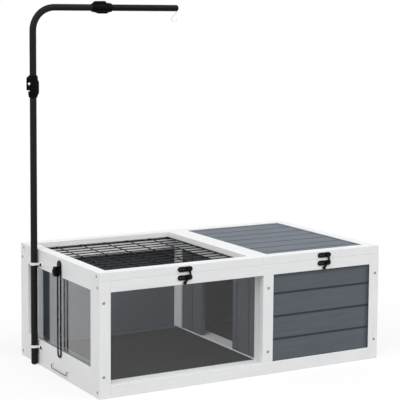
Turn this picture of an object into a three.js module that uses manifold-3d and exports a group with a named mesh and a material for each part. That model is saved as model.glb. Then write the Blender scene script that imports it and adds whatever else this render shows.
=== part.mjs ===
// Tortoise table: a timber box on four corner posts with a window room and a boarded room.
// Two lids are hinged at the back, and a telescopic lamp stand is clipped to the left side.
// Millimetres, +Z up, +X along the front to the right, +Y to the back.
import * as THREE from "three";
import { mergeVertices } from "three/addons/utils/BufferGeometryUtils.js";
import Module from "manifold-3d";

const wasm = await Module();
wasm.setup();

// Working values
const fit = 0.3; // running clearance between pieces that slot or turn together
const overrun = 2; // how far a cutter runs past the face it opens
const weldTolerance = 1e-4; // vertices closer than this are one

// Cabinet frame
const cabinetLength = 890;
const cabinetDepth = 522;
const bodyHeight = 308;
const cornerPostWidth = 32;
const cornerPostDepth = 54;
const frontFrameDepth = 46;
const backFrameDepth = 36;
const sideRailWidth = 32;
const baseRailHeight = 34;
const topRailHeight = 30;
const windowRailHeight = 38;
const centrePostLeft = 497;
const centrePostWidth = 33;
const grooveDepth = 6; // how far panels and panes enter the frame

// Boards
const boardThickness = 12;
const boardSetback = 3; // planks lie this far behind the face of their frame
const wallBoardPitch = 64.2;
const roofBoardPitch = 67.5;
const boardGrooveWidth = 5;
const boardGrooveFloor = 3;
const boardGrooveDepth = 2.5;
const firstWallGroove = 95.6; // height of the lowest groove of the walls
const firstRoofGroove = 74; // distance of the first roof groove from the front

// Panes
const paneThickness = 3;
const frontPaneSetback = 19;
const leftPaneSetback = 7;

// Floor and partition
const floorBottom = 21;
const floorThickness = 9;
const partitionLeft = 505;
const partitionThickness = 13;
const partitionFirstGroove = 87;
const thresholdWidth = 46;
const thresholdThickness = 4;
const doorwayFront = 175;
const doorwayBack = 353;
const doorwayTop = 250;

// Lids
const lidThickness = 22;
const lidStileWidth = 31;
const lidFrontRailWidth = 33.5;
const lidBackRailWidth = 34;

// Wire grid of the left lid
const wireDiameter = 3;
const weldSink = 0.6; // how far crossing wires melt into each other
const gridPitchAcross = 76;
const gridPitchDeep = 35;
const gridFirstAcross = 98;
const gridFirstDeep = 60;
const gridEdgeInset = 2.5; // visible edge wires stand this far inside the lid opening
const gridSeat = 6; // how far the wires reach into the rebate of the lid
const gridAboveLidBottom = 2.7;
const wireSides = 6;

// Hinges
const hingeWidth = 44;
const hingeLeafHeight = 19;
const hingeLeafThickness = 1.6;
const hingeKnuckleRadius = 3;
const hingePinRadius = 1.3;
const hingeKnuckleCount = 3;
const hingeInset = 62; // from the end of the lid to the near edge of the hinge
const hingeSides = 12;

// Latches
const latchPlateLength = 44;
const latchPlateHeight = 14;
const latchPitch = 22.4; // between the middles of the base plate and the keeper plate
const latchPlateThickness = 2.6;
const latchPlateRim = 2.4;
const latchRimHeight = 0.8;
const latchPivotX = 11; // pivot from the right end of the base plate
const latchPivotRadius = 2.5;
const latchHeadRadius = 4;
const latchHeadThickness = 1.4;
const latchHookThickness = 3;
const latchHubRadius = 6.5;
const latchArmWidth = 4.4;
const latchStudRadius = 2.4;
const latchStudX = -4; // keeper stud, from the pivot
const latchNoseWidth = 3.4;
const latchTailX = -13;
const latchTailZ = -13.6;
const latchTailRadius = 4.8;
const latchDimpleRadius = 2.6;
const latchDimpleDepth = 0.7;
const leftLatchX = 261; // pivots along the front
const rightLatchX = 709;
const latchSides = 20;

// Lid stay and its knob
const stayWire = 4.5;
const stayStrandPitch = 19.4;
const stayTop = 323.4;
const stayBottom = 53.5;
const stayY = 247;
const stayPinRadius = 3;
const stayPinDepth = 14;
const stayEndSteps = 10;
const staySides = 8;
const knobZ = 293.7;
const knobRadius = 14.5;
const knobThickness = 12;
const knobLobes = 6;
const knobLobeRadius = 4;
const knobHubRadius = 8;
const knobHubHeight = 3;
const knobStudRadius = 3;
const knobStudDepth = 14;
const knobSides = 10;

// Lamp stand
const tubeRadius = 9.5;
const tubeBore = 8.2;
const spigotRadius = 7.9;
const spigotBore = 6.7;
const tubeSides = 18;
const poleX = -11;
const poleBackInset = 122;
const poleY = cabinetDepth - poleBackInset;
const poleBottom = 2;
const plugThickness = 5;
const armHeight = 1005.6;
const bentLegLength = 218.3;
const poleSplit = armHeight - bentLegLength; // where the bent pole leaves the lower one
const bendRadius = 64;
const bentPoleSteps = 32;
const bentArmReach = 210;
const armSplit = poleX + bentArmReach; // where the arm leaves the bent pole
const armLength = 246;
const armEnd = armSplit + armLength;
const tubeEndRound = 3.5;
const poleSpigotLength = 260;
const armSpigotLength = 138;
const spigotCollar = 12;

// Pole clips
const clipHeight = 7;
const clipThickness = 2.8;
const clipEarReach = 34;
const clipTopInset = 18; // below the top of the body
const clipLowInset = 20; // above the base rail
const clipTopZ = bodyHeight - clipTopInset;
const clipLowZ = baseRailHeight + clipLowInset;
const clipSides = 20;

// Clamps of the lamp stand
const clampHalfLength = 30.5;
const clampEndRadius = 11.8;
const clampSleeveRadius = 13.6;
const clampEndTaper = 7;
const leverBandThickness = 2.7;
const leverLow = -22;
const leverHigh = 16.5;
const leverEndTaper = 6;
const leverHubLow = -7.4;
const leverHubTop = 0;
const leverHubRadius = 3.4;
const leverPinRadius = 1.5;
const leverPinX = -13.6;
const leverPinY = -8.4;
const leverLugThickness = 2.7;
const leverStartDegrees = 250;
const leverEndDegrees = 368;
const leverTabLength = 7;
const leverBandSteps = 12;
const clampEarReach = 18.3;
const clampEarWidth = 8;
const clampEarLow = leverHubLow - fit - leverLugThickness;
const clampEarHigh = 28.5;
const clampEarRound = 8;
const clampBossRadius = 4; // the seat of the rivet, on the front of the ear
const clampBossX = -11;
const clampBossZ = 7.4;
const clampBossReach = 11.8;
const clampSlotHeight = 3.4;
const clampSlotInner = 8; // from the tube's axis
const clampTurnDegrees = -20; // each clamp is turned on its tube by this much
const clampSides = 24;

// Lamp hook
const hookWire = 2.2;
const hookEndInset = 4;
const hookX = armEnd - hookEndInset;
const hookStemInset = 3.6;
const hookStemLength = 9;
const hookStemTop = armHeight - hookStemInset;
const hookStemBottom = hookStemTop - hookStemLength;
const hookLoopRadius = 9;
const hookLoopOffset = 7;
const hookLoopDrop = 19;
const hookLoopX = hookX - hookLoopOffset;
const hookLoopZ = hookStemBottom - hookLoopDrop;
const hookTipDegrees = 352;
const hookSteps = 26;
const hookSides = 8;

// Shares
const halfShare = 0.5;
const quarterTurn = Math.PI / 2;
const fullTurn = Math.PI * 2;

// Derived places
const cabinetRight = cabinetLength;
const cabinetBack = cabinetDepth;
const innerFront = frontFrameDepth;
const innerBack = cabinetDepth - backFrameDepth;
const innerLeft = sideRailWidth;
const innerRight = cabinetLength - sideRailWidth;
const postFrontEnd = cornerPostDepth;
const postBackStart = cabinetDepth - cornerPostDepth;
const centrePostRight = centrePostLeft + centrePostWidth;
const topRailBottom = bodyHeight - topRailHeight;
const windowRailTop = baseRailHeight + windowRailHeight;
const floorTop = floorBottom + floorThickness;
const thresholdTop = floorTop + thresholdThickness;
const panelReach = grooveDepth - fit;
const lidBottom = bodyHeight + fit;
const lidTop = lidBottom + lidThickness;
const lidSplit = centrePostLeft;
const hingeAxisZ = bodyHeight + fit * halfShare;
const latchPivotZ = hingeAxisZ - latchPitch * halfShare;

// Materials
function paint(hex, roughness, metalness) {
  return new THREE.MeshStandardMaterial({ color: hex, roughness, metalness });
}
const whitePaint = paint(0xf2f2f0, 0.55, 0);
const greyPaint = paint(0x5b6068, 0.6, 0);
const floorFelt = paint(0x444443, 0.85, 0);
const blackMetal = paint(0x1d1d1d, 0.4, 0.6);
const blackPlastic = paint(0x161616, 0.45, 0);
const whitePlastic = paint(0xededeb, 0.45, 0);
const galvanised = paint(0xb9bcbf, 0.35, 0.9);
const acrylic = new THREE.MeshStandardMaterial({
  color: 0xdfe8ea,
  roughness: 0.05,
  metalness: 0,
  transparent: true,
  opacity: 0.3,
});

// A closed three.js geometry as a solid that can be joined and cut.
function solidOf(geometry) {
  const bare = new THREE.BufferGeometry();
  bare.setAttribute("position", geometry.getAttribute("position"));
  bare.setIndex(geometry.getIndex());
  const merged = mergeVertices(bare, weldTolerance);
  const solid = new wasm.Manifold(
    new wasm.Mesh({
      numProp: 3,
      vertProperties: merged.attributes.position.array,
      triVerts: new Uint32Array(merged.index.array),
    }),
  );
  if (solid.volume() <= 0) throw new Error("a profile runs the wrong way round");
  return solid;
}

// The solid as a three.js geometry with flat normals.
function geometryOf(solid) {
  const mesh = solid.getMesh();
  const geometry = new THREE.BufferGeometry();
  const vertices = new THREE.BufferAttribute(mesh.vertProperties, mesh.numProp);
  geometry.setAttribute("position", vertices);
  geometry.setIndex(new THREE.BufferAttribute(mesh.triVerts, 1));
  const flat = geometry.toNonIndexed();
  flat.computeVertexNormals();
  return flat;
}

// A named mesh of the solid, hung in the group that carries it.
function place(group, name, solid, material) {
  const mesh = new THREE.Mesh(geometryOf(solid), material);
  mesh.name = name;
  group.add(mesh);
}

function joined(...solids) {
  return solids.reduce((whole, solid) => whole.add(solid));
}

function cut(solid, ...tools) {
  return tools.reduce((rest, tool) => rest.subtract(tool), solid);
}

// The space between two corners, each an [x, y, z].
function space(low, high) {
  return { low, high };
}

// The space grown by a distance along each axis.
function grown({ low, high }, byX, byY = byX, byZ = byX) {
  const by = [byX, byY, byZ];
  return space(
    low.map((value, axis) => value - by[axis]),
    high.map((value, axis) => value + by[axis]),
  );
}

// A block that fills a space.
function block({ low, high }) {
  const size = high.map((value, axis) => value - low[axis]);
  const toSpace = new THREE.Matrix4().makeScale(...size).setPosition(...low);
  const unit = new THREE.BoxGeometry(1, 1, 1).translate(halfShare, halfShare, halfShare);
  return solidOf(unit.applyMatrix4(toSpace));
}

// Outline points as a three.js shape.
function shapeOf(outline) {
  return new THREE.Shape(outline.map(([u, v]) => new THREE.Vector2(u, v)));
}

// The axes of an outline that is pushed along an axis: its first, its second and the one along.
const axisNames = ["x", "y", "z"];
function axisOrder(axis) {
  const along = axisNames.indexOf(axis);
  return axisNames.map((_, step) => (along + step + 1) % axisNames.length);
}

// An outline pushed along an axis: its points are [y, z] along x, [z, x] along y, [x, y] along z.
function pushed(axis, outline, from, to) {
  const geometry = new THREE.ExtrudeGeometry(shapeOf(outline), { depth: 1, bevelEnabled: false });
  const columns = axisOrder(axis).map((target) => new THREE.Vector3().setComponent(target, 1));
  const along = columns.at(-1);
  const start = along.clone().multiplyScalar(from);
  along.multiplyScalar(to - from);
  const toAxis = new THREE.Matrix4().makeBasis(...columns).setPosition(start);
  return solidOf(geometry.applyMatrix4(toAxis));
}

// A round bar between two heights on an axis through [x, y, z] (the value along the axis is not used).
function bar(axis, centre, radius, from, to, sides) {
  const [u, v] = axisOrder(axis).map((index) => centre[index]);
  return pushed(axis, circle(u, v, radius, sides), from, to);
}

// The corner points of a circle.
function circle(u, v, radius, sides) {
  return Array.from({ length: sides }, (_, side) => {
    const angle = (fullTurn * side) / sides;
    return [u + radius * Math.cos(angle), v + radius * Math.sin(angle)];
  });
}

// Points along an arc, both ends included.
function arcPoints(u, v, radius, fromDegrees, toDegrees, steps) {
  return Array.from({ length: steps + 1 }, (_, step) => {
    const angle = THREE.MathUtils.degToRad(fromDegrees + ((toDegrees - fromDegrees) * step) / steps);
    return [u + radius * Math.cos(angle), v + radius * Math.sin(angle)];
  });
}

// A stadium outline with its long side along the first axis.
function obround(uLow, uHigh, vLow, vHigh, sides) {
  const radius = (vHigh - vLow) * halfShare;
  const middle = vLow + radius;
  const steps = sides * halfShare;
  return [
    ...arcPoints(uHigh - radius, middle, radius, -90, 90, steps),
    ...arcPoints(uLow + radius, middle, radius, 90, 270, steps),
  ];
}

// A profile of [radius, height] points turned about +Z.
function turned(profile, sides) {
  const points = profile.map(([radius, height]) => new THREE.Vector2(radius, height));
  return solidOf(new THREE.LatheGeometry(points, sides).rotateX(quarterTurn));
}

// A section shape swept along a path.
function swept(shape, path, steps) {
  return solidOf(new THREE.ExtrudeGeometry(shape, { steps, extrudePath: path, bevelEnabled: false }));
}

// Places at a steady pitch below a limit.
function pitched(first, pitch, limit) {
  const count = Math.floor((limit - first) / pitch) + 1;
  return Array.from({ length: count }, (_, step) => first + step * pitch);
}

// Outline of a boarded panel as [across, face] points, with a groove at each board joint.
function boardOutline(acrossLow, acrossHigh, faceLow, faceHigh, joints, grooveLow, grooveHigh) {
  const mouth = boardGrooveWidth * halfShare;
  const floor = boardGrooveFloor * halfShare;
  const side = (face, inward, grooved) =>
    joints.flatMap((joint) =>
      grooved
        ? [
            [joint - mouth, face],
            [joint - floor, face + inward],
            [joint + floor, face + inward],
            [joint + mouth, face],
          ]
        : [],
    );
  return [
    [acrossLow, faceLow],
    ...side(faceLow, boardGrooveDepth, grooveLow),
    [acrossHigh, faceLow],
    [acrossHigh, faceHigh],
    ...side(faceHigh, -boardGrooveDepth, grooveHigh).reverse(),
    [acrossLow, faceHigh],
  ];
}

// Panels and panes: the space each one fills, its edges inside the grooves of the frame
const frontPane = space(
  [cornerPostWidth - panelReach, frontPaneSetback, baseRailHeight - panelReach],
  [centrePostLeft + panelReach, frontPaneSetback + paneThickness, topRailBottom + panelReach],
);
const leftPane = space(
  [leftPaneSetback, postFrontEnd - panelReach, windowRailTop - panelReach],
  [leftPaneSetback + paneThickness, postBackStart + panelReach, topRailBottom + panelReach],
);
const frontBoards = space(
  [centrePostRight - panelReach, boardSetback, baseRailHeight - panelReach],
  [innerRight + panelReach, boardSetback + boardThickness, topRailBottom + panelReach],
);
const rightBoards = space(
  [cabinetRight - boardSetback - boardThickness, postFrontEnd - panelReach, baseRailHeight - panelReach],
  [cabinetRight - boardSetback, postBackStart + panelReach, topRailBottom + panelReach],
);
const backBoards = space(
  [cornerPostWidth - panelReach, cabinetBack - boardSetback - boardThickness, baseRailHeight - panelReach],
  [innerRight + panelReach, cabinetBack - boardSetback, topRailBottom + panelReach],
);
const floorSpace = space(
  [innerLeft + fit, innerFront - panelReach, floorBottom],
  [innerRight - fit, innerBack + panelReach, floorTop],
);
const partitionSpace = space(
  [partitionLeft, innerFront - panelReach, thresholdTop],
  [partitionLeft + partitionThickness, postBackStart + panelReach, topRailBottom + panelReach],
);

function buildPosts(cabinet) {
  const post = (name, xLow, xHigh, yLow, yHigh, zLow, zHigh, panels) => {
    const timber = block(space([xLow, yLow, zLow], [xHigh, yHigh, zHigh]));
    const grooves = panels.map((panel) => block(grown(panel, fit)));
    place(cabinet, name, cut(timber, ...grooves), whitePaint);
  };
  post("post_front_left", 0, cornerPostWidth, 0, postFrontEnd, 0, bodyHeight, [frontPane, leftPane]);
  post("post_front_right", innerRight, cabinetRight, 0, postFrontEnd, 0, bodyHeight, [frontBoards, rightBoards]);
  post("post_back_left", 0, cornerPostWidth, postBackStart, cabinetBack, 0, bodyHeight, [leftPane, backBoards]);
  post("post_back_right", innerRight, cabinetRight, postBackStart, cabinetBack, 0, bodyHeight, [
    rightBoards,
    backBoards,
  ]);
  post("post_front_centre", centrePostLeft, centrePostRight, 0, innerFront, baseRailHeight, topRailBottom, [
    frontPane,
    frontBoards,
    partitionSpace,
  ]);
  const boardsInner = backBoards.low[1] - fit;
  post(
    "post_back_centre",
    centrePostLeft,
    centrePostRight,
    postBackStart,
    boardsInner,
    baseRailHeight,
    topRailBottom,
    [partitionSpace],
  );
}

function buildRails(cabinet) {
  const rail = (name, low, high, ...grooves) => {
    place(cabinet, name, cut(block(space(low, high)), ...grooves), whitePaint);
  };
  const groove = (panel) => block(grown(panel, fit));
  const floorGroove = block(grown(floorSpace, overrun, fit, fit));
  const studHole = bar(
    "x",
    [0, stayY, knobZ],
    knobStudRadius + fit,
    -overrun,
    knobStudDepth + fit,
    knobSides,
  );
  rail(
    "base_rail_front",
    [cornerPostWidth, 0, 0],
    [innerRight, innerFront, baseRailHeight],
    groove(frontPane),
    groove(frontBoards),
    floorGroove,
  );
  rail(
    "base_rail_back",
    [cornerPostWidth, innerBack, 0],
    [innerRight, cabinetBack, baseRailHeight],
    groove(backBoards),
    floorGroove,
  );
  rail("base_rail_left", [0, postFrontEnd, 0], [innerLeft, postBackStart, baseRailHeight]);
  rail(
    "base_rail_right",
    [innerRight, postFrontEnd, 0],
    [cabinetRight, postBackStart, baseRailHeight],
    groove(rightBoards),
  );
  rail(
    "window_rail_left",
    [0, postFrontEnd, baseRailHeight],
    [innerLeft, postBackStart, windowRailTop],
    groove(leftPane),
  );
  rail(
    "top_rail_front",
    [cornerPostWidth, 0, topRailBottom],
    [innerRight, innerFront, bodyHeight],
    groove(frontPane),
    groove(frontBoards),
    groove(partitionSpace),
  );
  rail(
    "top_rail_back",
    [cornerPostWidth, innerBack, topRailBottom],
    [innerRight, cabinetBack, bodyHeight],
    groove(backBoards),
  );
  rail(
    "top_rail_left",
    [0, postFrontEnd, topRailBottom],
    [innerLeft, postBackStart, bodyHeight],
    groove(leftPane),
    studHole,
  );
  rail(
    "top_rail_right",
    [innerRight, postFrontEnd, topRailBottom],
    [cabinetRight, postBackStart, bodyHeight],
    groove(rightBoards),
  );
  rail(
    "cross_rail",
    [centrePostLeft, innerFront, topRailBottom],
    [centrePostRight, innerBack, bodyHeight],
    groove(partitionSpace),
  );
}

function buildPanels(cabinet) {
  const wallJoints = pitched(firstWallGroove, wallBoardPitch, topRailBottom - boardGrooveWidth);
  const wall = (panel, axis, lowFaceGrooved = true) => {
    const thin = axis === "x" ? 1 : 0;
    const outline = boardOutline(
      panel.low[2],
      panel.high[2],
      panel.low[thin],
      panel.high[thin],
      wallJoints,
      lowFaceGrooved,
      true,
    );
    const long = 1 - thin;
    const points = outline.map(([across, face]) => (axis === "x" ? [face, across] : [across, face]));
    return pushed(axis, points, panel.low[long], panel.high[long]);
  };
  place(cabinet, "front_pane", block(frontPane), acrylic);
  place(cabinet, "left_pane", block(leftPane), acrylic);
  place(cabinet, "front_planks", wall(frontBoards, "x"), greyPaint);
  place(cabinet, "back_planks", wall(backBoards, "x", false), greyPaint);
  place(cabinet, "right_planks", wall(rightBoards, "y"), greyPaint);
}

function buildFloorAndPartition(cabinet) {
  place(cabinet, "floor_board", block(floorSpace), floorFelt);
  const threshold = space(
    [partitionLeft, innerFront, floorTop],
    [partitionLeft + thresholdWidth, innerBack, thresholdTop],
  );
  place(cabinet, "partition_threshold", block(threshold), whitePaint);
  const { low, high } = partitionSpace;
  const joints = pitched(partitionFirstGroove, wallBoardPitch, postBackStart - boardGrooveWidth).filter(
    (joint) => joint < doorwayFront - boardGrooveWidth || joint > doorwayBack + boardGrooveWidth,
  );
  const outline = boardOutline(low[1], high[1], low[0], high[0], joints, true, true);
  const points = outline.map(([across, face]) => [face, across]);
  const boards = pushed("z", points, low[2], high[2]);
  const doorway = block(
    space([low[0] - overrun, doorwayFront, low[2] - overrun], [high[0] + overrun, doorwayBack, doorwayTop]),
  );
  place(cabinet, "partition_boards", cut(boards, doorway), greyPaint);
}

// A lid's timber frame: stiles run front to back, rails lie between them.
function buildLidFrame(lid, side, xLow, xHigh, grooves) {
  const piece = (name, low, high, ...more) => {
    place(lid, name, cut(block(space([...low, lidBottom], [...high, lidTop])), ...grooves, ...more), whitePaint);
  };
  const stileEnd = xLow + lidStileWidth;
  const stileStart = xHigh - lidStileWidth;
  const pinHole = bar("x", [0, stayY, stayPivotZ], stayPinRadius + fit, -overrun, stayPinDepth + fit, knobSides);
  piece(`${side}_lid_stile_left`, [xLow, 0], [stileEnd, cabinetBack], ...(side === "left" ? [pinHole] : []));
  piece(`${side}_lid_stile_right`, [stileStart, 0], [xHigh, cabinetBack]);
  piece(`${side}_lid_rail_front`, [stileEnd, 0], [stileStart, lidFrontRailWidth]);
  piece(`${side}_lid_rail_back`, [stileEnd, cabinetBack - lidBackRailWidth], [stileStart, cabinetBack]);
}

// The welded grid: wires from front to back lie on wires from left to right.
function buildWireGrid(lid, opening) {
  const radius = wireDiameter * halfShare;
  const lowZ = lidBottom + gridAboveLidBottom;
  const highZ = lowZ + wireDiameter - weldSink;
  const { low, high } = opening;
  const reachLow = low.map((value) => value - gridSeat + fit);
  const reachHigh = high.map((value) => value + gridSeat - fit);
  const acrossPlaces = [
    reachLow[0] + radius,
    ...pitched(gridFirstAcross, gridPitchAcross, high[0] - gridPitchAcross * halfShare),
    high[0] - gridEdgeInset,
  ];
  const deepPlaces = [
    reachLow[1] + radius,
    ...pitched(gridFirstDeep, gridPitchDeep, high[1] - gridEdgeInset - wireDiameter),
    reachHigh[1] - radius,
  ];
  const along = acrossPlaces.map((x) => bar("y", [x, 0, highZ], radius, reachLow[1], reachHigh[1], wireSides));
  const across = deepPlaces.map((y) => bar("x", [0, y, lowZ], radius, reachLow[0], reachHigh[0], wireSides));
  place(lid, "wire_grid", joined(...along, ...across), blackMetal);
}

function buildLeftLid(lid) {
  const xHigh = lidSplit - fit;
  const opening = {
    low: [lidStileWidth, lidFrontRailWidth],
    high: [xHigh - lidStileWidth, cabinetBack - lidBackRailWidth],
  };
  const rebateTop = lidBottom + gridAboveLidBottom + wireDiameter * (1 + halfShare) - weldSink + fit;
  const rebate = block(
    space(
      [opening.low[0] - gridSeat, opening.low[1] - gridSeat, lidBottom - overrun],
      [opening.high[0] + gridSeat, opening.high[1] + gridSeat, rebateTop],
    ),
  );
  buildLidFrame(lid, "left", 0, xHigh, [rebate]);
  buildWireGrid(lid, opening);
}

function buildRightLid(lid) {
  const xLow = lidSplit + fit;
  const roof = space(
    [xLow + lidStileWidth - panelReach, lidFrontRailWidth - panelReach, lidTop - boardSetback - boardThickness],
    [
      cabinetRight - lidStileWidth + panelReach,
      cabinetBack - lidBackRailWidth + panelReach,
      lidTop - boardSetback,
    ],
  );
  buildLidFrame(lid, "right", xLow, cabinetRight, [block(grown(roof, fit))]);
  const joints = pitched(firstRoofGroove, roofBoardPitch, roof.high[1] - roofBoardPitch * halfShare);
  const outline = boardOutline(roof.low[1], roof.high[1], roof.low[2], roof.high[2], joints, true, true);
  place(lid, "roof_planks", pushed("x", outline, roof.low[0], roof.high[0]), greyPaint);
}

// One leaf of a butt hinge: upward leaves hold the middle knuckle, the others the end knuckles and the pin.
// Local frame: origin on the timber face below the axis, at the near end of the hinge.
function hingeLeaf(up) {
  const axisY = hingeKnuckleRadius + fit;
  const knuckleWidth = hingeWidth / hingeKnuckleCount;
  const sign = up ? 1 : -1;
  const plateStart = (hingeKnuckleRadius + fit) * sign;
  const plateEnd = hingeLeafHeight * sign;
  const plate = block(
    space(
      [0, 0, Math.min(plateStart, plateEnd)],
      [hingeWidth, hingeLeafThickness, Math.max(plateStart, plateEnd)],
    ),
  );
  const own = Array.from({ length: hingeKnuckleCount }, (_, index) => index).filter(
    (index) => (index % 2 === 1) === up,
  );
  const knuckles = own.map((index) => {
    const from = index * knuckleWidth + (index > 0 ? fit * halfShare : 0);
    const to = (index + 1) * knuckleWidth - (index < hingeKnuckleCount - 1 ? fit * halfShare : 0);
    const barrel = bar("x", [0, axisY, 0], hingeKnuckleRadius, from, to, hingeSides);
    const web = block(space([from, 0, Math.min(0, plateStart)], [to, hingeLeafThickness, Math.max(0, plateStart)]));
    const root = block(
      space([from, fit, Math.min(0, plateStart)], [to, hingeLeafThickness + fit, Math.max(0, plateStart)]),
    );
    return joined(barrel, web, root);
  });
  const body = joined(plate, ...knuckles);
  if (up) {
    return cut(body, bar("x", [0, axisY, 0], hingePinRadius + fit, -overrun, hingeWidth + overrun, hingeSides));
  }
  return body.add(bar("x", [0, axisY, 0], hingePinRadius, 0, hingeWidth, hingeSides));
}

function buildHinges(cabinet, leftLid, rightLid) {
  const places = [
    ["left_hinge_1", leftLid, hingeInset],
    ["left_hinge_2", leftLid, lidSplit - hingeInset - hingeWidth],
    ["right_hinge_1", rightLid, lidSplit + hingeInset],
    ["right_hinge_2", rightLid, cabinetRight - hingeInset - hingeWidth],
  ];
  for (const [hinge, lid, x] of places) {
    for (const [carrier, name, up] of [
      [lid, "lid", true],
      [cabinet, "body", false],
    ]) {
      const mount = new THREE.Group();
      mount.position.set(x, cabinetBack, hingeAxisZ);
      carrier.add(mount);
      place(mount, `${hinge}_${name}_leaf`, hingeLeaf(up), blackMetal);
    }
  }
}

// A raised-rim plate of the latch, its back on the timber at y = 0 and its front towards -Y.
function latchPlate(middleZ) {
  const half = latchPlateHeight * halfShare;
  const outline = (inset) =>
    obround(
      latchPivotX - latchPlateLength + inset,
      latchPivotX - inset,
      middleZ - half + inset,
      middleZ + half - inset,
      latchSides,
    ).map(([x, z]) => [z, x]);
  const plate = pushed("y", outline(0), -latchPlateThickness, 0);
  const pan = pushed("y", outline(latchPlateRim), -latchPlateThickness - overrun, -latchPlateThickness + latchRimHeight);
  return cut(plate, pan);
}

// Pins and discs of the latch stand along Y in front of the plate.
function latchRound(x, z, radius, from, to) {
  return bar("y", [x, 0, z], radius, from, to, latchSides);
}

// Latch pieces in the pivot's frame: origin at the pivot, on the face of the timber.
function latchBase() {
  const hookBack = -latchPlateThickness - fit;
  const hookFront = hookBack - latchHookThickness;
  const headBack = hookFront - fit;
  return joined(
    latchPlate(0),
    latchRound(0, 0, latchPivotRadius, headBack - latchHeadThickness, 0),
    latchRound(0, 0, latchHeadRadius, headBack - latchHeadThickness, headBack),
  );
}

function latchKeeper() {
  const studFront = -latchPlateThickness - latchHookThickness - fit * 2;
  return joined(
    latchPlate(latchPitch),
    latchRound(latchStudX, latchPitch, latchStudRadius, studFront, 0),
  );
}

function latchHook() {
  const back = -latchPlateThickness - fit;
  const front = back - latchHookThickness;
  const plate = (points) => pushed("y", points.map(([x, z]) => [z, x]), front, back);
  const clear = latchStudRadius + fit;
  const outer = clear + latchNoseWidth;
  const armX = latchStudX + clear;
  const arm = plate([
    [latchPivotRadius + fit, 0],
    [latchHubRadius, latchPivotRadius],
    [armX + latchArmWidth, latchPitch],
    [armX, latchPitch],
  ]);
  const noseBlank = cut(
    latchRound(latchStudX, latchPitch, outer, front, back),
    block(
      space(
        [latchStudX - outer - overrun, front - overrun, latchPitch - outer - overrun],
        [latchStudX, back + overrun, latchPitch + outer + overrun],
      ),
    ),
    block(
      space(
        [latchStudX - outer, front - overrun, latchPitch - outer - overrun],
        [armX, back + overrun, latchPitch],
      ),
    ),
  );
  const tailLength = Math.hypot(latchTailX, latchTailZ);
  const sideX = (-latchTailZ / tailLength) * latchArmWidth * halfShare;
  const sideZ = (latchTailX / tailLength) * latchArmWidth * halfShare;
  const tail = plate([
    [sideX, sideZ],
    [latchTailX + sideX, latchTailZ + sideZ],
    [latchTailX - sideX, latchTailZ - sideZ],
    [-sideX, -sideZ],
  ]);
  const body = joined(
    latchRound(0, 0, latchHubRadius, front, back),
    arm,
    noseBlank,
    tail,
    latchRound(latchTailX, latchTailZ, latchTailRadius, front, back),
  );
  return cut(
    body,
    latchRound(0, 0, latchPivotRadius + fit, front - overrun, back + overrun),
    latchRound(latchStudX, latchPitch, clear, front - overrun, back + overrun),
    latchRound(latchTailX, latchTailZ, latchDimpleRadius, front - overrun, front + latchDimpleDepth),
  );
}

function buildLatches(cabinet, leftLid, rightLid) {
  for (const [side, lid, x] of [
    ["left", leftLid, leftLatchX],
    ["right", rightLid, rightLatchX],
  ]) {
    for (const [carrier, name, solid] of [
      [cabinet, "latch_base", latchBase()],
      [lid, "latch_keeper", latchKeeper()],
      [cabinet, "latch_hook", latchHook()],
    ]) {
      const mount = new THREE.Group();
      mount.position.set(x, 0, latchPivotZ);
      carrier.add(mount);
      place(mount, `${side}_${name}`, solid, blackMetal);
    }
  }
}

// Lid stay: one closed loop of wire, hung on a pin in the lid
const stayRadius = stayWire * halfShare;
const stayX = -(fit + stayRadius);
const stayEndRadius = stayStrandPitch * halfShare;
const stayPivotZ = stayTop - stayRadius - stayEndRadius;
const stayLowZ = stayBottom + stayRadius + stayEndRadius;

// Half of a wire ring that stands in the plane of the strands, above or below its centre.
function stayBend(centreZ, upward) {
  const section = circle(stayEndRadius, 0, stayRadius, staySides);
  const profile = [...section, section[0]].map(([u, v]) => new THREE.Vector2(u, v));
  const ring = new THREE.LatheGeometry(profile, stayEndSteps * 2);
  const whole = solidOf(ring.rotateZ(quarterTurn).translate(stayX, stayY, centreZ));
  const halfLow = upward ? centreZ : centreZ - stayStrandPitch;
  const halfHigh = upward ? centreZ + stayStrandPitch : centreZ;
  const keep = space(
    [stayX - stayWire, stayY - stayStrandPitch, halfLow],
    [stayX + stayWire, stayY + stayStrandPitch, halfHigh],
  );
  return whole.intersect(block(keep));
}

function buildStay(lid) {
  const strand = (y) => bar("z", [stayX, y, 0], stayRadius, stayLowZ, stayPivotZ, staySides);
  const pivot = [0, stayY, stayPivotZ];
  const eye = bar("x", pivot, stayEndRadius, stayX - stayRadius * halfShare, stayX + stayRadius, stayEndSteps * 2);
  const pin = bar("x", pivot, stayPinRadius, stayX, stayPinDepth, knobSides);
  const loop = joined(
    strand(stayY - stayEndRadius),
    strand(stayY + stayEndRadius),
    stayBend(stayPivotZ, true),
    stayBend(stayLowZ, false),
  );
  place(lid, "stay", joined(loop, eye, pin), blackMetal);
}

function buildKnob(cabinet) {
  const inner = stayX - stayRadius - fit;
  const outer = inner - knobThickness;
  const lobeCentre = knobRadius - knobLobeRadius;
  const lobes = Array.from({ length: knobLobes }, (_, index) => {
    const angle = (fullTurn * index) / knobLobes;
    const centre = [0, stayY + lobeCentre * Math.cos(angle), knobZ + lobeCentre * Math.sin(angle)];
    return bar("x", centre, knobLobeRadius, outer, inner, knobSides);
  });
  const core = bar("x", [0, stayY, knobZ], lobeCentre, outer, inner, knobSides * 2);
  const cap = bar("x", [0, stayY, knobZ], knobHubRadius, outer - knobHubHeight, outer, knobSides * 2);
  const stud = bar("x", [0, stayY, knobZ], knobStudRadius, inner, knobStudDepth, knobSides);
  place(cabinet, "stay_knob", joined(core, ...lobes, cap, stud), blackPlastic);
}

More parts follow.
